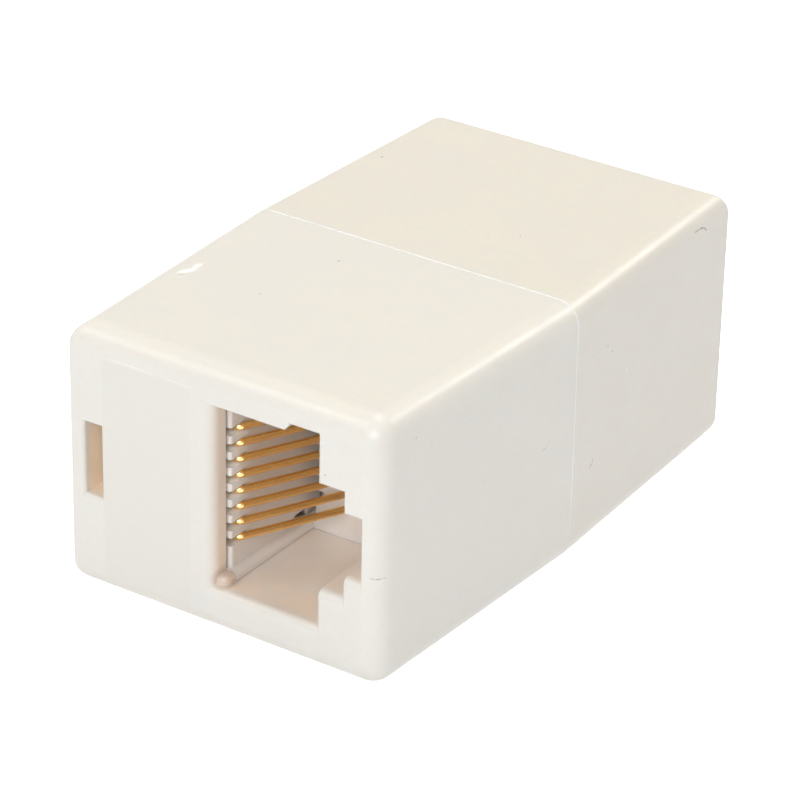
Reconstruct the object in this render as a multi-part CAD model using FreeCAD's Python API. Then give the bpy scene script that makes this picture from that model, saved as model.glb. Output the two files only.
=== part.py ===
"""Inline coupler for two 8-position modular plugs.

Two identical moulded half-shells close on a contact carrier.  Eight formed spring wires run
through the carrier, hooked round a nose at each end, so that contact 1 of one jack is
contact 1 of the other.  The whole coupler repeats itself when turned half a turn about its
vertical axis, so every rear piece is the front one turned.

Frame: millimetres.  X runs across, Y along the length with the front jack at -Y, Z up.
The origin is under the middle of the body, on the face that it rests on.
"""
import FreeCAD
import Part
import math
import os

V = FreeCAD.Vector
Z_AXIS = V(0, 0, 1)

# Body
BODY_LENGTH = 37.6
BODY_HEIGHT = 16.9
END_WIDTH = 21.6            # across each end face
SEAM_WIDTH = 23.1           # across the seam, because both halves draft outwards to it
EDGE_RADIUS = 1.45          # long edges, end edges and the upright corner beside the jack
BLANK_CORNER_RADIUS = 0.35  # upright corner beside the blank half
WALL = 1.4
FACE_WALL = 1.45            # thickness of the end faces
INNER_CORNER_RADIUS = 0.5
SEAM_BREAK = 0.06           # tiny chamfer on the rim, which shows as the seam line
FIT = 0.05                  # clearance between mouldings that locate each other

# Jack mouth, seen square on to an end face
JACK_RISE = 0.25            # centre of plug, latch and contacts above mid-height
MOUTH_LEFT = -0.75          # contact side of the mouth, from the middle of the body
PLUG_BAY = 7.30             # mouth from the contact side to the latch side
MOUTH_BELOW = 5.80          # floor of the mouth below the jack centre
MOUTH_ABOVE = 5.95          # ceiling on the contact side
RELIEF_ABOVE = 6.45         # ceiling on the latch side, past the step
RELIEF_START = 5.35         # top of the sloping step, from the contact side of the mouth
RELIEF_SLOPE = 0.40         # run of the step
JACK_DEPTH = 9.1            # end face to the plug stop
LATCH_WIDTH = 6.8
LATCH_REACH = 1.69          # wide part of the latch channel, past the plug bay
LATCH_SLOT_WIDTH = 4.1
LATCH_SLOT_REACH = 1.16     # narrow part, past the wide part
CONTACT_LIP = 0.8           # lead-in radii round the mouth
FLOOR_LIP = 0.55
EDGE_LIP = 0.2
LEDGE_LIP = 0.65            # on the two latch ledges
RIB_CORNER = 0.5            # front corner of the rib at the foot of the contact side

# Contact wires
WAYS = 8
PITCH = 1.016
WIRE = 0.46                 # diameter
WIRE_SIDES = 6              # flats that stand for its round
LEG_ANGLE = 26.7            # free leg away from the length of the coupler, degrees
HOOK_DEPTH = 2.60           # end face to the middle of the wire across the nose
HOOK_RADIUS = 0.40          # bend behind the nose
LEG_RADIUS = 0.35           # bend into the free leg
HOOK_FLAT = 0.50            # straight across the nose
RUN_OFFSET = 1.77           # straight run from the middle plane of the body
RUN_BEND = 7.0              # where the run turns to cross the carrier, from mid-length
CROSS_RADIUS = 1.0          # gentle bends of the crossing
TIP_DEPTH = 9.5             # end face to the tip of the free leg
GROOVE_PLAY = 0.03          # round a wire in its groove

# Contact carrier
BLADE_FACE = 0.58           # plug side of the blade, from the middle plane
BLADE_BACK = 2.15           # groove side of the blade
NOSE_DEPTH = 1.70           # end face to the front of the nose ribs
NOSE_HOLLOW = 3.10          # end face to the plastic behind the hooked wires
NOSE_RADIUS = 0.20          # on the plug side of the nose
STOP_THICKNESS = 1.4
COMB_SLOT = 0.66            # height of a slot for a wire tip
COMB_START = 2.2            # slots in the plug stop, from the middle plane
COMB_END = 4.2
COMB_DEPTH = 0.7
FOOT_HEIGHT = 0.57          # bead along the foot of the blade, above the mouth floor
FOOT_WIDTH = 0.53
FOOT_RADIUS = 0.38
SLIT_WIDTH = 0.63           # slit that parts the plug stop from the blade
SLIT_NOTCH = 0.60           # notches of the slit at the height of each wire
WINDOW_RUN = 1.3            # rounded window through the blade at the foot of the slit
WINDOW_HEIGHT = 0.50
WINDOW_FOOT = 0.70          # foot of the window above the mouth floor

# Snap closure
SLOT_INNER = 8.43           # release slot in the blank half of the face, from the middle
SLOT_WIDTH = 1.35
SLOT_HEIGHT = 4.75
SLOT_RISE = 0.10            # centre of the slot above mid-height
SLOT_LIP = 0.30
CATCH_BOX_WALL = 1.0
CATCH_BOX_DEPTH = 6.0       # end face to the back of the catch box
CATCH_LEDGE = 0.50          # bite of the catch
CATCH_DEPTH = 4.2           # end face to the hook side of the catch
CATCH_LENGTH = 1.3
HOOK_LENGTH = 1.3
HOOK_GAP = 0.10             # hook to catch, along the length
ARM_THICKNESS = 0.65
ARM_SIDE_GAP = 0.25         # arm to the top and bottom of the catch box
ARM_ROOT = 2.4              # length of the root block behind the seam
ARM_ROOT_START = 0.6        # root block from the seam

# Rim of the seam
TONGUE_LENGTH = 0.8
TONGUE_THICKNESS = 0.55
TONGUE_STEP = 0.1           # tongue back from the inner surface of the wall
TONGUE_START = 0.8          # tongue and rebate stop this far from the middle plane

# Coring behind the latch wall
CORE_WALL = 1.1
OVERCUT = 1.0               # how far a cutter runs past the face that it opens

# Worked out
END_Y = -BODY_LENGTH / 2.0
MID_Z = BODY_HEIGHT / 2.0
JACK_Z = MID_Z + JACK_RISE
BAY_RIGHT = MOUTH_LEFT + PLUG_BAY
LATCH_RIGHT = BAY_RIGHT + LATCH_REACH
LATCH_SLOT_RIGHT = LATCH_RIGHT + LATCH_SLOT_REACH
MOUTH_FLOOR = JACK_Z - MOUTH_BELOW
STOP_Y = END_Y + JACK_DEPTH
SLOT_Z = MID_Z + SLOT_RISE
INNER_HEIGHT = BODY_HEIGHT - 2.0 * WALL
WIRE_HEIGHTS = [JACK_Z + ((WAYS - 1) / 2.0 - i) * PITCH for i in range(WAYS)]


def box(x0, x1, y0, y1, z0, z1):
    """Block between two opposite corners."""
    return Part.makeBox(x1 - x0, y1 - y0, z1 - z0, V(x0, y0, z0))


def turned(shape):
    """The same shape at the other end of the coupler."""
    copy = shape.copy()
    copy.rotate(V(0, 0, 0), Z_AXIS, 180)
    return copy


def prism(edges, push):
    """Solid from a closed outline pushed along a vector."""
    return Part.Face(Part.Wire(edges)).extrude(push)


def outline(points):
    """Straight edges round a list of points."""
    return [Part.LineSegment(a, b).toShape() for a, b in zip(points, points[1:] + points[:1])]


def rounded_section(width, bottom, top, radius, y):
    """Rounded rectangle square to the length of the coupler."""
    half = width / 2.0
    arc = radius * (1.0 - math.sqrt(0.5))
    corners = ((1, top, 1), (-1, top, -1), (-1, bottom, 1), (1, bottom, -1))
    ends = []
    for side, level, first in corners:
        inwards = -1 if level == top else 1
        on_side = V(side * half, y, level + inwards * radius)
        on_level = V(side * (half - radius), y, level)
        middle = V(side * (half - arc), y, level + inwards * arc)
        ends.append((on_side, middle, on_level) if first > 0 else (on_level, middle, on_side))
    edges = []
    for i, (start, middle, end) in enumerate(ends):
        edges.append(Part.Arc(start, middle, end).toShape())
        edges.append(Part.LineSegment(end, ends[(i + 1) % 4][0]).toShape())
    return Part.Wire(edges)


def width_at(y):
    """Outside width of the front half at a place along it."""
    return END_WIDTH + (SEAM_WIDTH - END_WIDTH) * (y - END_Y) / -END_Y


def drafted(y0, y1, inset):
    """Front half between two places along it, a given distance inside the outside."""
    half0 = width_at(y0) / 2.0 - inset
    half1 = width_at(y1) / 2.0 - inset
    plan = [
        V(-half0, y0, inset), V(half0, y0, inset), V(half1, y1, inset), V(-half1, y1, inset),
    ]
    return prism(outline(plan), Z_AXIS * (BODY_HEIGHT - 2.0 * inset))


def long_edges(shape):
    """Edges of a block that run along the coupler."""
    half = shape.BoundBox.YLength / 2.0
    return [e for e in shape.Edges if e.BoundBox.YLength > half]


def blank_corner(edge):
    """Whether an edge is the upright corner of the end face beside the blank half."""
    room = edge.BoundBox
    return room.XMax < 0 and room.YMax < END_Y / 2.0 and room.ZLength > BODY_HEIGHT / 2.0


def case_block():
    """Solid outside form of a half body, with a small round only beside the blank half."""
    case = drafted(END_Y, 0.0, 0.0)
    bold = [e for e in case.Edges if e.BoundBox.YMin < END_Y / 2.0 and not blank_corner(e)]
    case = case.makeFillet(EDGE_RADIUS, bold)
    case = case.makeFillet(BLANK_CORNER_RADIUS, [e for e in case.Edges if blank_corner(e)])
    rim_edges = [e for e in case.Edges if e.BoundBox.YMin > -FIT]
    return case.makeChamfer(SEAM_BREAK, rim_edges)


def flare(low, high, low_lip, high_lip, end, place):
    """Outline of a mouth whose two sides open out to the end face in quarter rounds."""
    past = END_Y - OVERCUT
    q = math.sqrt(0.5)
    low_mid = (low - low_lip * (1.0 - q), END_Y + low_lip * (1.0 - q))
    high_mid = (high + high_lip * (1.0 - q), END_Y + high_lip * (1.0 - q))
    return [
        Part.Arc(
            place(low - low_lip, END_Y), place(*low_mid), place(low, END_Y + low_lip)
        ).toShape(),
        Part.LineSegment(place(low, END_Y + low_lip), place(low, end)).toShape(),
        Part.LineSegment(place(low, end), place(high, end)).toShape(),
        Part.LineSegment(place(high, end), place(high, END_Y + high_lip)).toShape(),
        Part.Arc(
            place(high, END_Y + high_lip), place(*high_mid), place(high + high_lip, END_Y)
        ).toShape(),
        Part.LineSegment(place(high + high_lip, END_Y), place(high + high_lip, past)).toShape(),
        Part.LineSegment(place(high + high_lip, past), place(low - low_lip, past)).toShape(),
        Part.LineSegment(place(low - low_lip, past), place(low - low_lip, END_Y)).toShape(),
    ]


def bell_mouth(x0, x1, z0, z1, depth, left_lip, right_lip, floor_lip, ceiling_lip):
    """Rectangular hole from the end face, its four sides flared by their own lips."""
    end = END_Y + depth
    plan = flare(x0, x1, left_lip, right_lip, end, lambda across, y: V(across, y, z0 - OVERCUT))
    side = flare(
        z0, z1, floor_lip, ceiling_lip, end, lambda height, y: V(x0 - left_lip - OVERCUT, y, height)
    )
    tall = prism(plan, V(0, 0, z1 - z0 + 2.0 * OVERCUT))
    wide = prism(side, V(x1 - x0 + left_lip + right_lip + 2.0 * OVERCUT, 0, 0))
    return tall.common(wide)


def jack_cavity():
    """Everything that the plug and its latch pass through."""
    bay = bell_mouth(
        MOUTH_LEFT, BAY_RIGHT, MOUTH_FLOOR, JACK_Z + MOUTH_ABOVE, JACK_DEPTH,
        CONTACT_LIP, EDGE_LIP, FLOOR_LIP, EDGE_LIP,
    )
    relief = bell_mouth(
        MOUTH_LEFT + RELIEF_START, BAY_RIGHT, JACK_Z, JACK_Z + RELIEF_ABOVE, JACK_DEPTH,
        EDGE_LIP, EDGE_LIP, EDGE_LIP, EDGE_LIP,
    )
    half_latch = LATCH_WIDTH / 2.0
    latch = bell_mouth(
        BAY_RIGHT - LATCH_REACH, LATCH_RIGHT, JACK_Z - half_latch, JACK_Z + half_latch,
        JACK_DEPTH, EDGE_LIP, EDGE_LIP, LEDGE_LIP, EDGE_LIP,
    )
    half_slot = LATCH_SLOT_WIDTH / 2.0
    slot = bell_mouth(
        BAY_RIGHT, LATCH_SLOT_RIGHT, JACK_Z - half_slot, JACK_Z + half_slot,
        JACK_DEPTH, EDGE_LIP, EDGE_LIP, LEDGE_LIP, EDGE_LIP,
    )
    shoulder = box(
        BAY_RIGHT, LATCH_SLOT_RIGHT, END_Y + FACE_WALL, STOP_Y,
        JACK_Z - half_latch, JACK_Z + half_latch,
    )
    step_x = MOUTH_LEFT + RELIEF_START
    step = [
        V(step_x - RELIEF_SLOPE, END_Y - OVERCUT, JACK_Z + MOUTH_ABOVE),
        V(step_x, END_Y - OVERCUT, JACK_Z + MOUTH_ABOVE),
        V(step_x, END_Y - OVERCUT, JACK_Z + RELIEF_ABOVE),
    ]
    slope = prism(outline(step), V(0, JACK_DEPTH + OVERCUT, 0))
    return bay.multiFuse([relief, latch, slot, shoulder, slope])


def mouth_rib():
    """Rounded rib that carries the bead of the carrier on through the mouth."""
    right = FOOT_WIDTH - BLADE_FACE
    front = END_Y + FLOOR_LIP
    top = MOUTH_FLOOR + FIT + FOOT_HEIGHT
    rib = box(
        MOUTH_LEFT - EDGE_LIP, right, front, END_Y + FACE_WALL, MOUTH_FLOOR - FLOOR_LIP, top
    )
    corner = [
        e for e in rib.Edges
        if e.BoundBox.XMin > right - FIT and e.BoundBox.YMax < front + FIT
    ]
    rib = rib.makeFillet(RIB_CORNER, corner)
    upper = [
        e for e in rib.Edges
        if e.BoundBox.ZMin > top - FIT and e.BoundBox.XMax > MOUTH_LEFT
        and e.BoundBox.YMin < END_Y + FACE_WALL - FIT
    ]
    return rib.makeFillet(FOOT_RADIUS, upper)


def cores():
    """Sink-saving pockets above and below the latch channel, shut off by the plug stop."""
    half_latch = LATCH_WIDTH / 2.0
    right = width_at(END_Y) / 2.0 - WALL
    ceiling = BODY_HEIGHT - WALL
    upper = box(
        BAY_RIGHT + CORE_WALL, right, END_Y + FACE_WALL, STOP_Y,
        JACK_Z + half_latch + CORE_WALL, ceiling,
    )
    lower = box(
        BAY_RIGHT + CORE_WALL, right, END_Y + FACE_WALL, STOP_Y,
        WALL, JACK_Z - half_latch - CORE_WALL,
    )
    return [upper, lower]


def catch_box():
    """Block behind the release slot that the mating arm enters."""
    outer = END_WIDTH / 2.0
    return box(
        -outer, -SLOT_INNER + CATCH_BOX_WALL, END_Y + FACE_WALL / 2.0, END_Y + CATCH_BOX_DEPTH,
        SLOT_Z - SLOT_HEIGHT / 2.0 - CATCH_BOX_WALL, SLOT_Z + SLOT_HEIGHT / 2.0 + CATCH_BOX_WALL,
    )


def release_slot():
    """Slot through the end face and the catch box."""
    return bell_mouth(
        -SLOT_INNER - SLOT_WIDTH, -SLOT_INNER,
        SLOT_Z - SLOT_HEIGHT / 2.0, SLOT_Z + SLOT_HEIGHT / 2.0,
        CATCH_BOX_DEPTH + OVERCUT, SLOT_LIP, EDGE_LIP / 2.0, SLOT_LIP, EDGE_LIP / 2.0,
    )


def catch():
    """Ledge across the outer side of the slot, ramped for the hook to ride over."""
    outer = -SLOT_INNER - SLOT_WIDTH
    y0 = END_Y + CATCH_DEPTH
    low = SLOT_Z - SLOT_HEIGHT / 2.0
    points = [
        V(outer, y0, low),
        V(outer + CATCH_LEDGE, y0, low),
        V(outer + CATCH_LEDGE, y0 + CATCH_LENGTH / 2.0, low),
        V(outer, y0 + CATCH_LENGTH, low),
    ]
    return prism(outline(points), V(0, 0, SLOT_HEIGHT))


def snap_arm():
    """Arm of a shell that crosses the seam and hooks on the catch of the mating shell."""
    tip = -END_Y - CATCH_DEPTH + HOOK_GAP
    outer = SLOT_INNER + SLOT_WIDTH - CATCH_LEDGE - FIT
    inner = outer - ARM_THICKNESS
    bite = outer + CATCH_LEDGE - FIT
    half = SLOT_HEIGHT / 2.0 - ARM_SIDE_GAP
    root0 = -ARM_ROOT_START - ARM_ROOT
    points = [
        V(inner, root0, SLOT_Z - half),
        V(outer, root0, SLOT_Z - half),
        V(outer, tip, SLOT_Z - half),
        V(bite, tip, SLOT_Z - half),
        V(outer, tip + HOOK_LENGTH, SLOT_Z - half),
        V(inner, tip + HOOK_LENGTH, SLOT_Z - half),
    ]
    arm = prism(outline(points), V(0, 0, 2.0 * half))
    wall_middle = width_at(root0) / 2.0 - WALL / 2.0
    root = box(inner, wall_middle, root0, -ARM_ROOT_START, SLOT_Z - half, SLOT_Z + half)
    return arm.fuse(root)


def rim(inset, thickness, y0, y1, start):
    """Band just inside the rim of the right-hand side, from a place beside the middle plane."""
    ring = rounded_section(
        SEAM_WIDTH - 2.0 * inset, inset, BODY_HEIGHT - inset, EDGE_RADIUS - inset, y0
    )
    hole = rounded_section(
        SEAM_WIDTH - 2.0 * (inset + thickness), inset + thickness,
        BODY_HEIGHT - inset - thickness, INNER_CORNER_RADIUS, y0,
    )
    band = Part.Face(ring).cut(Part.Face(hole)).extrude(V(0, y1 - y0, 0))
    return band.common(box(start, SEAM_WIDTH, y0, y1, 0, BODY_HEIGHT))


def half_shell():
    """Front shell: drafted case, jack on the right, blank half with its release slot left."""
    hollow = drafted(END_Y + FACE_WALL, OVERCUT, WALL)
    hollow = hollow.makeFillet(INNER_CORNER_RADIUS, long_edges(hollow))
    jack_block = box(FIT - BLADE_FACE, SEAM_WIDTH, END_Y, STOP_Y, 0, BODY_HEIGHT)
    hollow = hollow.cut(jack_block.fuse(catch_box()))
    shell = case_block().cut(hollow)
    shell = shell.cut(jack_cavity().multiFuse(cores() + [release_slot()]))

    inset = WALL - TONGUE_STEP - TONGUE_THICKNESS
    tongue = rim(inset, TONGUE_THICKNESS, -TONGUE_LENGTH, TONGUE_LENGTH, TONGUE_START)
    mating_room = rim(inset - FIT, WALL, -OVERCUT, TONGUE_LENGTH + FIT, TONGUE_START - FIT)
    shell = shell.cut(turned(mating_room))
    shell = shell.multiFuse([tongue, mouth_rib(), catch(), snap_arm()])
    return shell.removeSplitter()


def wire_section(place, heading):
    """Section of a contact wire, square to its heading."""
    across = heading.cross(Z_AXIS)
    corners = []
    for i in range(WIRE_SIDES):
        angle = 2.0 * math.pi * (i + 0.5) / WIRE_SIDES
        corners.append(place + (across * math.cos(angle) + Z_AXIS * math.sin(angle)) * (WIRE / 2.0))
    return Part.Face(Part.Wire(outline(corners)))


def formed(place, heading, moves):
    """Solid of a wire formed from straight runs, each with a bend to the left at its end."""
    spans = []
    for length, radius, bend in moves:
        spans.append(wire_section(place, heading).extrude(heading * length))
        place = place + heading * length
        if bend > 0.0:
            centre = place + Z_AXIS.cross(heading) * radius
            spans.append(wire_section(place, heading).revolve(centre, Z_AXIS, bend))
            turn = FreeCAD.Rotation(Z_AXIS, bend)
            place = centre + turn.multVec(place - centre)
            heading = turn.multVec(heading)
    return spans[0].multiFuse(spans[1:])


def contact_wire(height):
    """Wire that crosses the carrier and hooks round a nose at each end into a free leg."""
    leg = math.radians(LEG_ANGLE)
    cross = math.atan2(RUN_OFFSET, RUN_BEND)
    tangent = CROSS_RADIUS * math.tan(cross / 2.0)
    run = -END_Y - HOOK_DEPTH - HOOK_RADIUS - RUN_BEND - tangent
    free = (TIP_DEPTH - HOOK_DEPTH - LEG_RADIUS * (1.0 - math.sin(leg))) / math.cos(leg)
    moves = [
        (math.hypot(RUN_OFFSET, RUN_BEND) - tangent, CROSS_RADIUS, math.degrees(cross)),
        (run, HOOK_RADIUS, 90.0),
        (HOOK_FLAT, LEG_RADIUS, 90.0 - LEG_ANGLE),
        (free, 0.0, 0.0),
    ]
    half = formed(V(0, 0, height), V(-math.sin(cross), -math.cos(cross), 0), moves)
    return half.fuse(turned(half)).removeSplitter()


def groove(height):
    """Cutter for one wire: nose notch, open groove of the blade and half of the crossing."""
    play = WIRE / 2.0 + GROOVE_PLAY
    reach = BLADE_BACK + OVERCUT
    low = height - play
    cross = math.atan2(RUN_OFFSET, RUN_BEND)
    slant = play / math.cos(cross)
    kink = RUN_BEND - play * math.tan(cross / 2.0)
    hollow_y = END_Y + NOSE_HOLLOW
    leg = math.radians(LEG_ANGLE)
    leg_x = -RUN_OFFSET + HOOK_RADIUS + HOOK_FLAT + LEG_RADIUS * math.cos(leg)
    leg_y = END_Y + HOOK_DEPTH + LEG_RADIUS * (1.0 - math.sin(leg))
    behind_leg = leg_x - play / math.cos(leg) + (hollow_y - leg_y) * math.tan(leg)
    clear_y = hollow_y + (OVERCUT - behind_leg) / math.tan(leg)
    points = [
        V(-reach, END_Y + NOSE_DEPTH - OVERCUT, low),
        V(OVERCUT, END_Y + NOSE_DEPTH - OVERCUT, low),
        V(OVERCUT, clear_y, low),
        V(behind_leg, hollow_y, low),
        V(-RUN_OFFSET + play, hollow_y, low),
        V(-RUN_OFFSET + play, -kink, low),
        V(slant, 0, low),
        V(-slant, slant, low),
        V(-reach, slant, low),
    ]
    return prism(outline(points), V(0, 0, 2.0 * play))


def blade():
    """Half of the carrier: nosed blade, plug stop and half of the middle web."""
    low = WALL + FIT
    tall = INNER_HEIGHT - 2.0 * FIT
    body = box(-BLADE_BACK, -BLADE_FACE, END_Y + NOSE_DEPTH, 0, low, low + tall)
    nose = [
        e for e in body.Edges
        if e.BoundBox.YMax < END_Y + NOSE_DEPTH + FIT and e.BoundBox.ZLength > tall / 2.0
        and e.BoundBox.XMin > -BLADE_BACK / 2.0
    ]
    body = body.makeFillet(NOSE_RADIUS, nose)
    web = box(-BLADE_BACK, BLADE_BACK, STOP_Y + FIT, 0, low, low + tall)
    reach = width_at(STOP_Y) / 2.0 - WALL - FIT
    stop = box(-BLADE_FACE, reach, STOP_Y + FIT, STOP_Y + FIT + STOP_THICKNESS, low, low + tall)
    corners = [e for e in stop.Edges if e.BoundBox.XMin > reach - FIT and e.BoundBox.ZLength < FIT]
    stop = stop.makeFillet(INNER_CORNER_RADIUS, corners)
    return body.multiFuse([web, stop])


def comb():
    """Slots in the plug stop that keep the wire tips apart."""
    y0 = STOP_Y
    y1 = STOP_Y + FIT + COMB_DEPTH
    half = COMB_SLOT / 2.0
    return [box(COMB_START, COMB_END, y0, y1, z - half, z + half) for z in WIRE_HEIGHTS]


def foot():
    """Bead along the foot of the blade, round-topped, beside the mouth floor."""
    low = MOUTH_FLOOR + FIT
    y0 = END_Y + FACE_WALL + FIT
    right = FOOT_WIDTH - BLADE_FACE
    bead = box(-BLADE_BACK, right, y0, STOP_Y + FIT, low, low + FOOT_HEIGHT)
    top = [
        e for e in bead.Edges
        if e.BoundBox.XMin > right - FIT and e.BoundBox.ZMin > low + FOOT_HEIGHT - FIT
    ]
    return bead.makeFillet(FOOT_RADIUS, top)


def slit():
    """Slit between blade and plug stop, notched at the wires."""
    y0 = STOP_Y
    y1 = STOP_Y + 2.0 * FIT + STOP_THICKNESS
    half_rows = WAYS / 2.0 * PITCH
    right = SLIT_WIDTH - BLADE_FACE
    cuts = [box(-BLADE_FACE, right, y0, y1, MOUTH_FLOOR + WINDOW_FOOT, JACK_Z + half_rows)]
    half = COMB_SLOT / 2.0
    for z in WIRE_HEIGHTS:
        cuts.append(box(-BLADE_FACE, right + SLIT_NOTCH, y0, y1, z - half, z + half))
    return cuts


def window():
    """Round-ended window through the blade, where its foot meets the plug stop."""
    x0 = -BLADE_BACK - OVERCUT
    through = V(BLADE_BACK - BLADE_FACE + 2.0 * OVERCUT, 0, 0)
    low = MOUTH_FLOOR + WINDOW_FOOT
    high = low + WINDOW_HEIGHT
    back = STOP_Y
    front = back - WINDOW_RUN
    radius = WINDOW_HEIGHT / 2.0
    edges = [
        Part.LineSegment(V(x0, back, high), V(x0, front + radius, high)).toShape(),
        Part.Arc(
            V(x0, front + radius, high), V(x0, front, low + radius), V(x0, front + radius, low)
        ).toShape(),
        Part.LineSegment(V(x0, front + radius, low), V(x0, back, low)).toShape(),
        Part.LineSegment(V(x0, back, low), V(x0, back, high)).toShape(),
    ]
    return prism(edges, through)


def contact_carrier():
    """Both halves of the carrier with their grooves, comb slots and slits."""
    half = blade().fuse(foot())
    cuts = [groove(z) for z in WIRE_HEIGHTS] + comb() + slit() + [window()]
    body = half.fuse(turned(half))
    body = body.cut(Part.makeCompound(cuts))
    body = body.cut(Part.makeCompound([turned(c) for c in cuts]))
    return body.removeSplitter()


def main():
    os.makedirs("parts", exist_ok=True)
    front = half_shell()
    pieces = {
        "front_shell": front,
        "rear_shell": turned(front),
        "contact_carrier": contact_carrier(),
    }
    for number, height in enumerate(WIRE_HEIGHTS, start=1):
        pieces["contact_wire_%d" % number] = contact_wire(height)
    for name, shape in pieces.items():
        print(name, shape.isValid(), len(shape.Solids), round(shape.Volume, 3), len(shape.Faces))
        shape.exportStep("parts/%s.step" % name)


main()
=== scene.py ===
import math

import bpy
from mathutils import Matrix, Vector


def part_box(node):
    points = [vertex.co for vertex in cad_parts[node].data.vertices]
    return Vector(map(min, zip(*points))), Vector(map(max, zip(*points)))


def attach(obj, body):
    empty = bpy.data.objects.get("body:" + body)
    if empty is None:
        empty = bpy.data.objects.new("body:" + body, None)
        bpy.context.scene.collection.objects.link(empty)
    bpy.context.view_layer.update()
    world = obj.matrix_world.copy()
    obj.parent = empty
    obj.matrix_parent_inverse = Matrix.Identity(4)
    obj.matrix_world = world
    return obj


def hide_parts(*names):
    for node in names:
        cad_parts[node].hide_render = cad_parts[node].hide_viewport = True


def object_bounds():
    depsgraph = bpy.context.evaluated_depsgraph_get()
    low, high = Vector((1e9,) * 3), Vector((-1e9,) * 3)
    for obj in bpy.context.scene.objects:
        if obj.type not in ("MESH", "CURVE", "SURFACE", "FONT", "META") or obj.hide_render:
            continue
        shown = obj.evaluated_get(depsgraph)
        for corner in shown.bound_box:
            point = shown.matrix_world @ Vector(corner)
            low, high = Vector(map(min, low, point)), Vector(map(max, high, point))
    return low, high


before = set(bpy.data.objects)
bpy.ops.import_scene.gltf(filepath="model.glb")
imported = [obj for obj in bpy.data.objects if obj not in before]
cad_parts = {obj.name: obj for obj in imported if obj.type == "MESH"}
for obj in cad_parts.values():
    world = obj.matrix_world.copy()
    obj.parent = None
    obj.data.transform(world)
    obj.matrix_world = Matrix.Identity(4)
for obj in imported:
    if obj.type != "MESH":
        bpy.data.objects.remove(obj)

# Inline coupler: two cream half-shells, one pale contact carrier and eight formed spring
# wires.  Metres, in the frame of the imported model.  X runs across, Y along the length with
# the front jack at -Y, Z up from the face that the coupler rests on.

MM = 0.001
packed_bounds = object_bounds()
FRONT = packed_bounds[0][1]     # front end face
TOP = packed_bounds[1][2]
FACE_LEFT = -10.8 * MM          # left edge of the end face

# Contact wires
WAYS = 8
WIRE = 0.46 * MM                # diameter
LEG_ANGLE = math.radians(26.7)  # free leg away from the length of the coupler
HOOK_DEPTH = 2.60 * MM          # end face to the wire across the nose
HOOK_RADIUS = 0.40 * MM         # bend behind the nose
HOOK_FLAT = 0.50 * MM           # straight across the nose
LEG_RADIUS = 0.35 * MM          # bend into the free leg
TIP_DEPTH = 9.5 * MM            # end face to the tip of the free leg
RUN_OFFSET = 1.77 * MM          # straight run from the middle plane
RUN_BEND = 7.0 * MM             # where the run turns to cross the carrier
CROSS_RADIUS = 1.0 * MM
WIRE_SIDES = 28
BEND_STEPS = 10


def linear(red, green, blue):
    """Linear colour of a paint given in display values from 0 to 255."""
    shares = [value / 255.0 for value in (red, green, blue)]
    return tuple(
        share / 12.92 if share <= 0.04045 else ((share + 0.055) / 1.055) ** 2.4
        for share in shares
    )


# ---------------------------------------------------------------- node helpers

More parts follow.
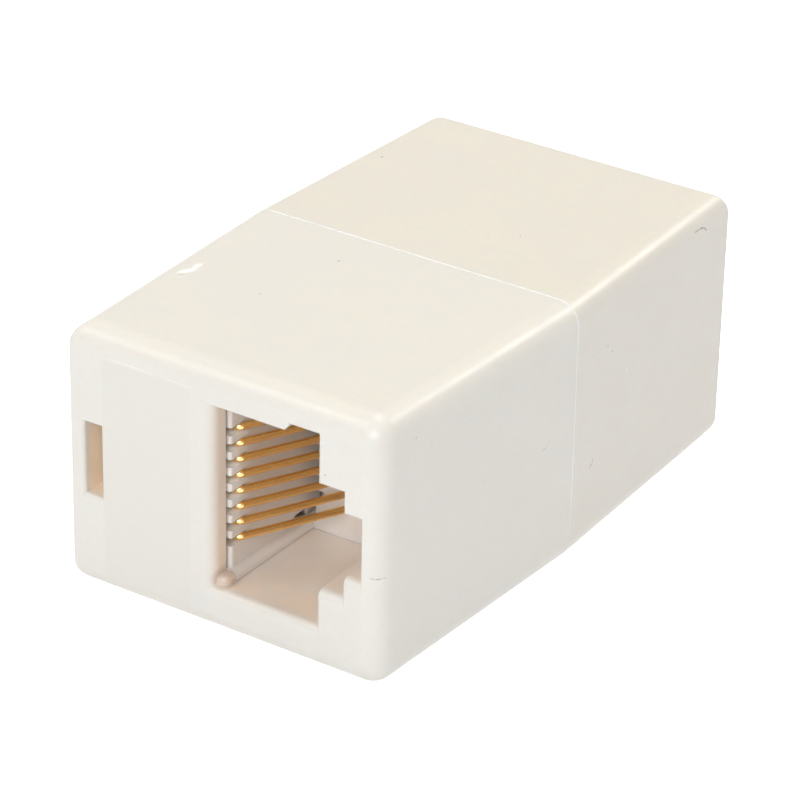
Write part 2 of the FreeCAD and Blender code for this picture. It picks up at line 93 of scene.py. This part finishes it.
class Finish:
    """A material under construction: makes nodes, joins them and sets their sockets."""

    def __init__(self, name):
        self.material = bpy.data.materials.new(name)
        self.material.use_nodes = True
        self.tree = self.material.node_tree
        self.shader = self.tree.nodes["Principled BSDF"]
        self.place = self.node("ShaderNodeTexCoord").outputs["Object"]

    def node(self, kind, sockets=None, **settings):
        """New node with its own settings and its input values or links."""
        made = self.tree.nodes.new(kind)
        for key, value in settings.items():
            setattr(made, key, value)
        for key, value in (sockets or {}).items():
            self.feed(made.inputs[key], value)
        return made

    def feed(self, socket, value):
        """Sets a socket to a value, or links it where the value is an output."""
        if isinstance(value, bpy.types.NodeSocket):
            self.tree.links.new(value, socket)
        elif socket.type == "RGBA":
            socket.default_value = (*value, 1.0)
        else:
            socket.default_value = value

    def shade(self, **sockets):
        """Sets or links the shader's own sockets, with _ for a space in their names."""
        for key, value in sockets.items():
            self.feed(self.shader.inputs[key.replace("_", " ")], value)

    def noise(self, size, detail=2.0, roughness=0.5, stretch=(1.0, 1.0, 1.0)):
        """Cloudy value from 0 to 1 with features of about that size."""
        mapped = self.node("ShaderNodeMapping", {"Vector": self.place, "Scale": stretch})
        sockets = {
            "Vector": mapped.outputs["Vector"],
            "Scale": 1.0 / size,
            "Detail": detail,
            "Roughness": roughness,
        }
        return self.node("ShaderNodeTexNoise", sockets).outputs["Fac"]

    def ranged(self, value, low, high, to_low=0.0, to_high=1.0):
        """Value moved from one range to another, with soft ends."""
        sockets = {
            "Value": value,
            "From Min": low,
            "From Max": high,
            "To Min": to_low,
            "To Max": to_high,
        }
        made = self.node("ShaderNodeMapRange", sockets, interpolation_type="SMOOTHSTEP")
        return made.outputs["Result"]

    def maths(self, kind, first, second):
        """Result of a sum on two values or outputs."""
        made = self.node("ShaderNodeMath", operation=kind)
        self.feed(made.inputs[0], first)
        self.feed(made.inputs[1], second)
        return made.outputs["Value"]

    def blend(self, share, first, second):
        """Colour between two colours."""
        made = self.node("ShaderNodeMix", data_type="RGBA")
        self.feed(made.inputs["Factor"], share)
        self.feed(made.inputs[6], first)
        self.feed(made.inputs[7], second)
        return made.outputs[2]

    def stroke(self, start, end, width):
        """Share from 0 to 1 inside a soft-edged line between two places."""
        first, last = Vector(start), Vector(end)
        along = last - first
        reach = (along.length / 2.0 + width / 2.0, width / 2.0, width / 2.0)
        sockets = {
            "Vector": self.place,
            "Location": (first + last) / 2.0,
            "Rotation": along.to_track_quat("X", "Z").to_euler(),
            "Scale": reach,
        }
        mapped = self.node("ShaderNodeMapping", sockets, vector_type="TEXTURE")
        length = self.node("ShaderNodeVectorMath", operation="LENGTH")
        self.feed(length.inputs[0], mapped.outputs["Vector"])
        return self.ranged(length.outputs["Value"], 1.0, 0.5)

    def off_middle(self):
        """Distances across, along and up from the middle of the coupler."""
        axes = self.node("ShaderNodeSeparateXYZ", {"Vector": self.place}).outputs
        rise = self.maths("SUBTRACT", axes["Z"], TOP / 2.0)
        return [self.maths("ABSOLUTE", value, 0.0) for value in (axes["X"], axes["Y"], rise)]

    def panel(self):
        """Share on the flat panel beside the mouth, on both end faces."""
        axes = self.node("ShaderNodeSeparateXYZ", {"Vector": self.place}).outputs
        over = self.maths("MULTIPLY", axes["X"], self.maths("DIVIDE", axes["Y"], FRONT))
        along = self.off_middle()[1]
        share = self.ranged(along, -FRONT - PANEL_FACE[0], -FRONT - PANEL_FACE[1])
        left, right, height = PANEL
        edges = ((over, left, SOFT_STEP), (over, right, -SOFT_STEP), (axes["Z"], height, -SOFT_STEP))
        for value, limit, step in edges:
            share = self.maths("MULTIPLY", share, self.ranged(value, limit, limit + step))
        return share

    def inside(self, depths):
        """Share from 0 on the outside of the coupler to 1 inside its jacks, past those depths."""
        across, along, up = self.off_middle()
        share = self.ranged(along, -FRONT - depths[0], -FRONT - depths[1])
        for value, limit in ((across, -FACE_LEFT - SKIN), (up, TOP / 2.0 - SKIN)):
            share = self.maths("MULTIPLY", share, self.ranged(value, limit, limit - SKIN / 4.0))
        return share

    def wave(self, height, depth, strength, normal=None):
        """Normal bent by a height value."""
        sockets = {"Height": height, "Distance": depth, "Strength": strength}
        if normal is not None:
            sockets["Normal"] = normal
        return self.node("ShaderNodeBump", sockets).outputs["Normal"]


# ---------------------------------------------------------------- plastics

EDGE_SOFTNESS = 0.04 * MM       # radius that a moulded corner really has
CLOUD = 9.0 * MM                # patches where the tint drifts
FLOW = 2.2 * MM                 # finer mottle
SPECKLE = 0.30 * MM             # fine uneven dye
GRAIN = 0.16 * MM               # fine moulded grain
GRAIN_DEPTH = 0.004 * MM
GRAIN_STRENGTH = 0.4
SATIN = (0.31, 0.37)            # roughness, from its shiniest to its dullest patches
GLOW = 0.2                      # share of the light that travels inside the plastic
GLOW_REACH = 0.8 * MM           # how far it travels
GLOW_TINT = (1.0, 0.62, 0.38)

PATCHY = (0.3, 0.7)             # part of a cloudy value that becomes clear patches
CLOUD_SHARE = 0.33              # how much of the deeper tint each kind of patch brings
FLOW_SHARE = 0.27
SPECKLE_SHARE = 0.5
SPECKLED = (0.42, 0.68)

YELLOWER_FROM = TOP / 2.0 - 1.3 * MM    # yellower tint past this distance off mid-height
SEAM_RIM = 0.09 * MM            # painted light along the seam, over the shade of its chamfer
RIM_SHARE = 0.9

# Flat panel beside each mouth, in painted shade: its left, right and top edges, and how much shade it
# takes
PANEL = (-8.50 * MM, -2.10 * MM, 15.40 * MM)
PANEL_FACE = (0.08 * MM, 0.04 * MM)     # depth behind the end face where it starts and is full
PANEL_SHARE = 0.55
SOFT_STEP = 0.25 * MM           # softness of its edges

SKIN = 0.9 * MM                 # painted light: the paint inside the jacks is lighter and warmer from this far under the outside
LIP = (0.0, 1.0 * MM)           # depth over which the lips of a jack take that painted light
THROAT = (1.4 * MM, 4.0 * MM)   # depth over which that painted light turns cooler behind them

# Paints as the fresh tint, its deeper patches and the yellower tint towards the top
FRONT_CREAM = (linear(232, 229, 222), linear(229, 225, 218), linear(235, 229, 216))
REAR_CREAM = (linear(229, 225, 217), linear(227, 221, 212), linear(233, 226, 209))
CARRIER_WHITE = (linear(230, 222, 215), linear(225, 216, 208), linear(230, 222, 215))
# painted light inside the jacks: lighter, warmer paint on the lips and throats
LIP_PAINTED_LIGHT = linear(253, 231, 210)
THROAT_PAINTED_LIGHT = linear(241, 227, 215)
DUST = linear(112, 98, 80)
# painted shade in the windows of the carrier
WINDOW_PAINTED_SHADE = linear(104, 80, 58)
BRUISE = linear(196, 170, 140)
# near-white: real stress whitening at chips and scratches, and painted light along the seam, the
# parting line and the combs
WHITENING_AND_PAINTED_LIGHT = linear(255, 253, 250)
# painted shade on the panels beside the mouths
PANEL_PAINTED_SHADE = linear(226, 222, 214)
FOOT_SHADE = linear(210, 190, 174)
# painted light inside the release slot
SLOT_PAINTED_LIGHT = linear(255, 235, 209)

# Marks as start and end in millimetres, width, strength and colour
FRONT_MARKS = [
    # chip near the left edge of the top, with its rim
    ((-9.47, -10.03, 16.9), (-8.98, -9.09, 16.9), 0.64, 0.95, WHITENING_AND_PAINTED_LIGHT),
    ((-9.14, -8.97, 16.9), (-9.14, -8.39, 16.9), 0.54, 0.90, WHITENING_AND_PAINTED_LIGHT),
    ((-9.42, -10.23, 16.9), (-9.07, -10.03, 16.9), 0.16, 0.45, BRUISE),
    ((-9.21, -10.65, 16.9), (-8.90, -10.31, 16.9), 0.14, 0.35, WHITENING_AND_PAINTED_LIGHT),
    # specks on the top
    ((-2.93, -3.35, 16.9), (-2.86, -3.30, 16.9), 0.17, 0.60, DUST),
    ((-4.05, -9.54, 16.9), (-4.00, -9.50, 16.9), 0.14, 0.45, DUST),
    ((6.46, -3.78, 16.9), (6.46, -3.76, 16.9), 0.11, 0.22, DUST),
    ((7.84, -2.77, 16.9), (7.84, -2.75, 16.9), 0.10, 0.22, DUST),
    ((-2.38, -15.19, 16.9), (-2.36, -15.19, 16.9), 0.11, 0.22, DUST),
    # specks and a faint curved rub on the right side
    ((10.92, -15.77, 15.02), (10.92, -15.75, 15.02), 0.17, 0.30, DUST),
    ((11.42, -3.29, 8.87), (11.44, -2.86, 8.89), 0.10, 0.30, DUST),
    ((11.44, -2.86, 8.89), (11.45, -2.49, 9.20), 0.09, 0.16, DUST),
    # hairline crack on the upright edge round and a speck on the end face
    ((9.98, -18.68, 7.25), (10.26, -18.52, 7.17), 0.10, 0.35, DUST),
    ((10.26, -18.52, 7.17), (10.49, -18.31, 7.20), 0.11, 0.48, DUST),
    ((10.49, -18.31, 7.20), (10.68, -18.05, 7.24), 0.09, 0.25, DUST),
    ((7.02, -18.8, 12.81), (7.04, -18.8, 12.81), 0.14, 0.40, DUST),
    # faint parting line along the top of the end face, its brightness a painted highlight
    ((-8.40, -18.8, 15.42), (-4.20, -18.8, 15.42), 0.14, 0.28, WHITENING_AND_PAINTED_LIGHT),
    ((-4.20, -18.8, 15.42), (-1.60, -18.8, 15.34), 0.12, 0.22, WHITENING_AND_PAINTED_LIGHT),
    # shaded foot of the mouth
    ((-0.45, -18.30, 3.35), (-0.30, -17.20, 3.35), 1.70, 0.85, FOOT_SHADE),
    # painted light: warm, light paint inside the release slot
    ((-9.25, -17.25, 4.6), (-9.25, -17.25, 11.6), 3.00, 0.95, SLOT_PAINTED_LIGHT),
]
REAR_MARKS = [
    ((-9.15, 10.30, 16.9), (-9.15, 10.42, 16.9), 0.16, 0.50, DUST),
    ((-6.22, 1.18, 16.9), (-6.20, 1.18, 16.9), 0.11, 0.20, DUST),
    ((3.67, 6.03, 16.9), (3.94, 5.71, 16.9), 0.10, 0.20, DUST),
    ((-4.48, 7.03, 16.9), (-4.46, 7.03, 16.9), 0.10, 0.20, DUST),
    # curved nick on the long edge
    ((10.92, 14.20, 15.87), (10.89, 14.90, 15.86), 0.16, 0.40, DUST),
    ((10.89, 14.90, 15.86), (10.90, 15.35, 15.78), 0.17, 0.60, DUST),
    ((10.90, 15.35, 15.78), (10.92, 15.70, 15.48), 0.14, 0.55, DUST),
    ((10.91, 15.75, 15.33), (10.91, 16.10, 15.27), 0.12, 0.30, WHITENING_AND_PAINTED_LIGHT),
    # hair and specks on the right side
    ((11.45, 2.49, 5.85), (11.45, 2.43, 5.60), 0.11, 0.45, DUST),
    ((11.45, 2.43, 5.60), (11.47, 2.09, 5.34), 0.12, 0.50, DUST),
    ((11.40, 3.66, 12.74), (11.40, 3.70, 12.74), 0.18, 0.40, DUST),
    ((11.38, 4.26, 12.14), (11.38, 4.34, 12.14), 0.19, 0.42, DUST),
    ((11.47, 1.89, 12.80), (11.47, 1.91, 12.80), 0.10, 0.18, DUST),
    ((11.30, 6.16, 10.18), (11.30, 6.16, 9.98), 0.16, 0.60, WHITENING_AND_PAINTED_LIGHT),
]
# Painted light round the combs of noses, and painted shade in the two windows
CARRIER_MARKS = [
    # painted light in the shaded notches round each comb
    ((-1.30, -16.60, 4.6), (-1.30, -16.60, 13.4), 1.90, 0.90, WHITENING_AND_PAINTED_LIGHT),
    ((1.30, 16.60, 4.6), (1.30, 16.60, 13.4), 1.90, 0.90, WHITENING_AND_PAINTED_LIGHT),
    # painted shade in each window
    ((-1.00, -10.00, 3.5), (-1.00, -8.30, 3.9), 1.15, 0.85, WINDOW_PAINTED_SHADE),
    ((-0.80, -8.10, 3.8), (-0.80, -8.10, 5.2), 0.90, 0.85, WINDOW_PAINTED_SHADE),
    ((1.00, 10.00, 3.5), (1.00, 8.30, 3.9), 1.15, 0.85, WINDOW_PAINTED_SHADE),
    ((0.80, 8.10, 3.8), (0.80, 8.10, 5.2), 0.90, 0.85, WINDOW_PAINTED_SHADE),
]


def patches(finish, size, detail, band, share, roughness=0.5):
    """Share of the deeper tint in patches of about that size."""
    return finish.maths("MULTIPLY", finish.ranged(finish.noise(size, detail, roughness), *band), share)


def housing(finish, body, along):
    """Tint of a half-shell: painted light along the seam, painted shade on its panels and painted
    light inside its jack.
    """
    # painted light along the seam, over the shade of its chamfer
    rim = finish.ranged(along, SEAM_RIM, SEAM_RIM / 2.0)
    body = finish.blend(finish.maths("MULTIPLY", rim, RIM_SHARE), body, WHITENING_AND_PAINTED_LIGHT)
    # painted shade on the panel beside the mouth
    body = finish.blend(finish.maths("MULTIPLY", finish.panel(), PANEL_SHARE), body, PANEL_PAINTED_SHADE)
    # painted light on the lips and throats of the jack
    body = finish.blend(finish.inside(LIP), body, LIP_PAINTED_LIGHT)
    return finish.blend(finish.inside(THROAT), body, THROAT_PAINTED_LIGHT)


def moulded(name, paints, marks, is_housing):
    """Satin moulded plastic with a drifting tint, a fine grain, soft corners and its marks."""
    finish = Finish(name)
    fresh, deep, yellower_top = paints
    across, along, up = finish.off_middle()
    body = finish.blend(finish.ranged(up, YELLOWER_FROM, TOP / 2.0), fresh, yellower_top)
    body = finish.blend(patches(finish, SPECKLE, 2.0, SPECKLED, SPECKLE_SHARE, 0.7), body, deep)
    if is_housing:
        body = housing(finish, body, along)
    drift = patches(finish, CLOUD, 1.0, PATCHY, CLOUD_SHARE)
    mottle = patches(finish, FLOW, 3.0, PATCHY, FLOW_SHARE, 0.6)
    body = finish.blend(finish.maths("ADD", drift, mottle), body, deep)
    for start, end, width, strength, paint in marks:
        places = [[value * MM for value in place] for place in (start, end)]
        line = finish.stroke(*places, width * MM)
        body = finish.blend(finish.maths("MULTIPLY", line, strength), body, paint)
    soft = finish.node("ShaderNodeBevel", {"Radius": EDGE_SOFTNESS}, samples=6)
    grain = finish.noise(GRAIN, 3.0, 0.6)
    finish.shade(
        Base_Color=body,
        Roughness=finish.ranged(finish.noise(FLOW, 2.0), 0.2, 0.8, *SATIN),
        Normal=finish.wave(grain, GRAIN_DEPTH, GRAIN_STRENGTH, soft.outputs["Normal"]),
        Subsurface_Weight=GLOW,
        Subsurface_Radius=GLOW_TINT,
        Subsurface_Scale=GLOW_REACH,
    )
    return finish.material


# ---------------------------------------------------------------- contact wires

GOLD = linear(255, 214, 146)
GOLD_DEEP = linear(251, 208, 138)
GOLD_DRIFT = 1.4 * MM           # patches where the plate is thicker
DRAWN_LINE = 0.06 * MM          # width of the fine lines that drawing leaves
LINE_STRETCH = (1.0, 0.10, 1.0)
LINE_DEPTH = 0.001 * MM
LINE_STRENGTH = 0.08
POLISH = (0.10, 0.14)           # roughness


def wire_metal():
    """Bright gold plate over a drawn spring wire: fine lines along it and a warm drift."""
    finish = Finish("contact_gold")
    drift = finish.ranged(finish.noise(GOLD_DRIFT, 2.0), *PATCHY)
    lines = finish.noise(DRAWN_LINE, 2.0, 0.5, LINE_STRETCH)
    finish.shade(
        Base_Color=finish.blend(drift, GOLD, GOLD_DEEP),
        Metallic=1.0,
        Roughness=finish.ranged(lines, *PATCHY, *POLISH),
        Normal=finish.wave(lines, LINE_DEPTH, LINE_STRENGTH),
    )
    return finish.material


def wire_route():
    """Corners of one wire in plan and the radius of the bend at each, tip to tip."""
    nose_y = FRONT + HOOK_DEPTH
    tip_y = FRONT + TIP_DEPTH
    leg_corner_x = -RUN_OFFSET + HOOK_RADIUS + HOOK_FLAT
    leg_corner_x += LEG_RADIUS * math.tan((math.pi / 2.0 - LEG_ANGLE) / 2.0)
    tip_x = leg_corner_x + (tip_y - nose_y) * math.tan(LEG_ANGLE)
    front = [
        ((tip_x, tip_y), 0.0),
        ((leg_corner_x, nose_y), LEG_RADIUS),
        ((-RUN_OFFSET, nose_y), HOOK_RADIUS),
        ((-RUN_OFFSET, -RUN_BEND), CROSS_RADIUS),
    ]
    rear = [((-x, -y), radius) for (x, y), radius in reversed(front)]
    return front + rear


def wire_tree(material):
    """Geometry Nodes tree: rounds a route's corners, gives it a section and stacks it up Z."""
    tree = bpy.data.node_groups.new("formed_wires", "GeometryNodeTree")
    face = tree.interface
    face.new_socket("Geometry", in_out="INPUT", socket_type="NodeSocketGeometry")
    sockets = {
        "Ways": face.new_socket("Ways", in_out="INPUT", socket_type="NodeSocketInt"),
        "Pitch": face.new_socket("Pitch", in_out="INPUT", socket_type="NodeSocketFloat"),
        "Diameter": face.new_socket("Diameter", in_out="INPUT", socket_type="NodeSocketFloat"),
        "Sides": face.new_socket("Sides", in_out="INPUT", socket_type="NodeSocketInt"),
    }
    face.new_socket("Geometry", in_out="OUTPUT", socket_type="NodeSocketGeometry")
    new = tree.nodes.new
    join = tree.links.new
    given = new("NodeGroupInput")
    made = new("NodeGroupOutput")

    fillet = new("GeometryNodeFilletCurve")
    fillet.mode = "POLY"
    fillet.inputs["Count"].default_value = BEND_STEPS
    bend = new("GeometryNodeInputRadius")
    join(given.outputs["Geometry"], fillet.inputs["Curve"])
    join(bend.outputs["Radius"], fillet.inputs["Radius"])

    half = new("ShaderNodeMath")
    half.operation = "MULTIPLY"
    half.inputs[1].default_value = 0.5
    section = new("GeometryNodeCurvePrimitiveCircle")
    join(given.outputs["Diameter"], half.inputs[0])
    join(half.outputs["Value"], section.inputs["Radius"])
    join(given.outputs["Sides"], section.inputs["Resolution"])

    sweep = new("GeometryNodeCurveToMesh")
    sweep.inputs["Scale"].default_value = 1.0
    sweep.inputs["Fill Caps"].default_value = True
    join(fillet.outputs["Curve"], sweep.inputs["Curve"])
    join(section.outputs["Curve"], sweep.inputs["Profile Curve"])

    step = new("ShaderNodeCombineXYZ")
    join(given.outputs["Pitch"], step.inputs["Z"])
    stack = new("GeometryNodeMeshLine")
    stack.mode = "OFFSET"
    join(given.outputs["Ways"], stack.inputs["Count"])
    join(step.outputs["Vector"], stack.inputs["Offset"])

    copies = new("GeometryNodeInstanceOnPoints")
    join(stack.outputs["Mesh"], copies.inputs["Points"])
    join(sweep.outputs["Mesh"], copies.inputs["Instance"])
    solid = new("GeometryNodeRealizeInstances")
    smooth = new("GeometryNodeSetShadeSmooth")
    plate = new("GeometryNodeSetMaterial")
    plate.inputs["Material"].default_value = material
    join(copies.outputs["Instances"], solid.inputs["Geometry"])
    join(solid.outputs["Geometry"], smooth.inputs["Geometry"])
    join(smooth.outputs["Geometry"], plate.inputs["Geometry"])
    join(plate.outputs["Geometry"], made.inputs["Geometry"])
    return tree, {name: socket.identifier for name, socket in sockets.items()}


def contact_wires():
    """All eight formed wires as one piece."""
    names = ["contact_wire_%d" % (way + 1) for way in range(WAYS)]
    heights = sorted(sum(corner.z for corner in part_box(name)) / 2.0 for name in names)
    pitch = (heights[-1] - heights[0]) / (WAYS - 1)
    route = wire_route()

    curve = bpy.data.curves.new("wire_route", "CURVE")
    curve.dimensions = "3D"
    spline = curve.splines.new("POLY")
    spline.points.add(len(route) - 1)
    for point, ((x, y), radius) in zip(spline.points, route):
        point.co = (x, y, heights[0], 1.0)
        point.radius = radius
    guide = bpy.data.objects.new("wire_route", curve)
    bpy.context.scene.collection.objects.link(guide)

    material = wire_metal()
    tree, ids = wire_tree(material)
    former = guide.modifiers.new("former", "NODES")
    former.node_group = tree
    former[ids["Ways"]] = WAYS
    former[ids["Pitch"]] = pitch
    former[ids["Diameter"]] = WIRE
    former[ids["Sides"]] = WIRE_SIDES
    bpy.context.view_layer.update()
    evaluated = guide.evaluated_get(bpy.context.evaluated_depsgraph_get())
    mesh = bpy.data.meshes.new_from_object(evaluated)
    guide.modifiers.remove(former)
    bpy.data.objects.remove(guide)

    wires = bpy.data.objects.new("contact_wires", mesh)
    bpy.context.scene.collection.objects.link(wires)
    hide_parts(*names)
    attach(wires, "root")


# ---------------------------------------------------------------- studio

MIDDLE = Vector((0.0, 0.0, TOP / 2.0))
CAMERA_DISTANCE = 229.65 * MM
CAMERA_AZIMUTH = math.radians(33.329)   # round to the right of the front face
CAMERA_HEIGHT = math.radians(27.556)
AIM_AZIMUTH = math.radians(33.317)
AIM_DROP = math.radians(27.962)
CAMERA_ROLL = math.radians(1.2486)
LENS = 173.6                            # on a 36 mm sensor
SHIFT = (-0.01136, 0.01140)
FLOOR_RADIUS = 3.0
FLOOR_SHADE = (0.80, 0.80, 0.80, 1.0)
FLOOR_SIDES = 96
FLOOR_GLOW = 0.87                       # share of white that the floor keeps in shadow

# Softboxes: name, azimuth and height in degrees, distance, size, level, colour
SOFTBOXES = [
    ("front_softbox", 21.0, 28.0, 0.60, 0.32, 0.66, (0.95, 0.97, 1.00)),
    ("top_softbox", 190.0, 72.0, 0.60, 0.40, 0.48, (1.00, 0.98, 0.93)),
    ("rear_softbox", 156.0, 33.0, 0.60, 0.14, 0.20, (1.00, 0.98, 0.95)),
    ("left_softbox", -47.0, 48.0, 0.60, 0.16, 0.13, (1.00, 0.98, 0.94)),
]
SKY_LEVEL = 0.16
WHITE = (1.0, 1.0, 1.0, 1.0)


def toward(azimuth, height):
    """Unit vector from the coupler, with the azimuth counted from the front to the right."""
    flat = math.cos(height)
    return Vector((math.sin(azimuth) * flat, -math.cos(azimuth) * flat, math.sin(height)))


def camera():
    """Camera at the viewing angle."""
    data = bpy.data.cameras.new("camera")
    data.lens = LENS
    data.shift_x, data.shift_y = SHIFT
    data.clip_start = 0.01
    placed = bpy.data.objects.new("camera", data)
    turn = Matrix.Rotation(AIM_AZIMUTH, 4, "Z")
    turn = turn @ Matrix.Rotation(math.pi / 2.0 - AIM_DROP, 4, "X")
    turn = turn @ Matrix.Rotation(CAMERA_ROLL, 4, "Z")
    eye = MIDDLE + CAMERA_DISTANCE * toward(CAMERA_AZIMUTH, CAMERA_HEIGHT)
    placed.matrix_world = Matrix.Translation(eye) @ turn
    bpy.context.scene.collection.objects.link(placed)
    bpy.context.scene.camera = placed


def softbox(name, azimuth, height, distance, size, level, colour):
    """Square area lamp aimed at the coupler.  A level of 1 would light a facing card fully."""
    data = bpy.data.lights.new(name, "AREA")
    data.shape = "SQUARE"
    data.size = size
    data.color = colour
    data.energy = level * math.pi ** 2 * distance ** 2
    lamp = bpy.data.objects.new(name, data)
    direction = toward(math.radians(azimuth), math.radians(height))
    lamp.location = MIDDLE + distance * direction
    lamp.rotation_euler = direction.to_track_quat("Z", "Y").to_euler()
    bpy.context.scene.collection.objects.link(lamp)


def seen_directly(tree):
    """Value that is 1 for what the lens, a reflection or a clear part shows."""
    path = tree.nodes.new("ShaderNodeLightPath")
    total = path.outputs["Is Camera Ray"]
    for name in ("Is Glossy Ray", "Is Transmission Ray"):
        add = tree.nodes.new("ShaderNodeMath")
        add.operation = "MAXIMUM"
        tree.links.new(total, add.inputs[0])
        tree.links.new(path.outputs[name], add.inputs[1])
        total = add.outputs["Value"]
    return total


def sky():
    """Even studio light, seen as plain white."""
    world = bpy.data.worlds.new("studio")
    bpy.context.scene.world = world
    world.use_nodes = True
    tree = world.node_tree
    ground = tree.nodes["Background"]
    ground.inputs["Color"].default_value = WHITE
    level = tree.nodes.new("ShaderNodeMapRange")
    level.inputs["To Min"].default_value = SKY_LEVEL
    level.inputs["To Max"].default_value = 1.0
    tree.links.new(seen_directly(tree), level.inputs["Value"])
    tree.links.new(level.outputs["Result"], ground.inputs["Strength"])


def studio_floor():
    """Round white floor that keeps a faint shadow."""
    turns = [math.tau * side / FLOOR_SIDES for side in range(FLOOR_SIDES)]
    ring = [(FLOOR_RADIUS * math.cos(turn), FLOOR_RADIUS * math.sin(turn), 0.0) for turn in turns]
    mesh = bpy.data.meshes.new("studio_floor")
    mesh.from_pydata(ring, [], [list(range(FLOOR_SIDES))])
    floor = bpy.data.objects.new("studio_floor", mesh)
    bpy.context.scene.collection.objects.link(floor)

    material = bpy.data.materials.new("studio_white")
    material.use_nodes = True
    tree = material.node_tree
    shader = tree.nodes["Principled BSDF"]
    shader.inputs["Base Color"].default_value = FLOOR_SHADE
    shader.inputs["Roughness"].default_value = 0.9
    shader.inputs["Specular IOR Level"].default_value = 0.0
    shader.inputs["Emission Color"].default_value = WHITE
    glow = tree.nodes.new("ShaderNodeMath")
    glow.operation = "MULTIPLY"
    glow.inputs[1].default_value = FLOOR_GLOW
    tree.links.new(seen_directly(tree), glow.inputs[0])
    tree.links.new(glow.outputs["Value"], shader.inputs["Emission Strength"])
    mesh.materials.append(material)


def paint(node, material):
    """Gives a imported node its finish."""
    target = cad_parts[node]
    target.data.materials.clear()
    target.data.materials.append(material)


paint("front_shell", moulded("front_cream_plastic", FRONT_CREAM, FRONT_MARKS, True))
paint("rear_shell", moulded("rear_cream_plastic", REAR_CREAM, REAR_MARKS, True))
paint("contact_carrier", moulded("carrier_plastic", CARRIER_WHITE, CARRIER_MARKS, False))
contact_wires()
studio_floor()
for box in SOFTBOXES:
    softbox(*box)
sky()
camera()
bpy.context.scene.view_settings.view_transform = "Standard"
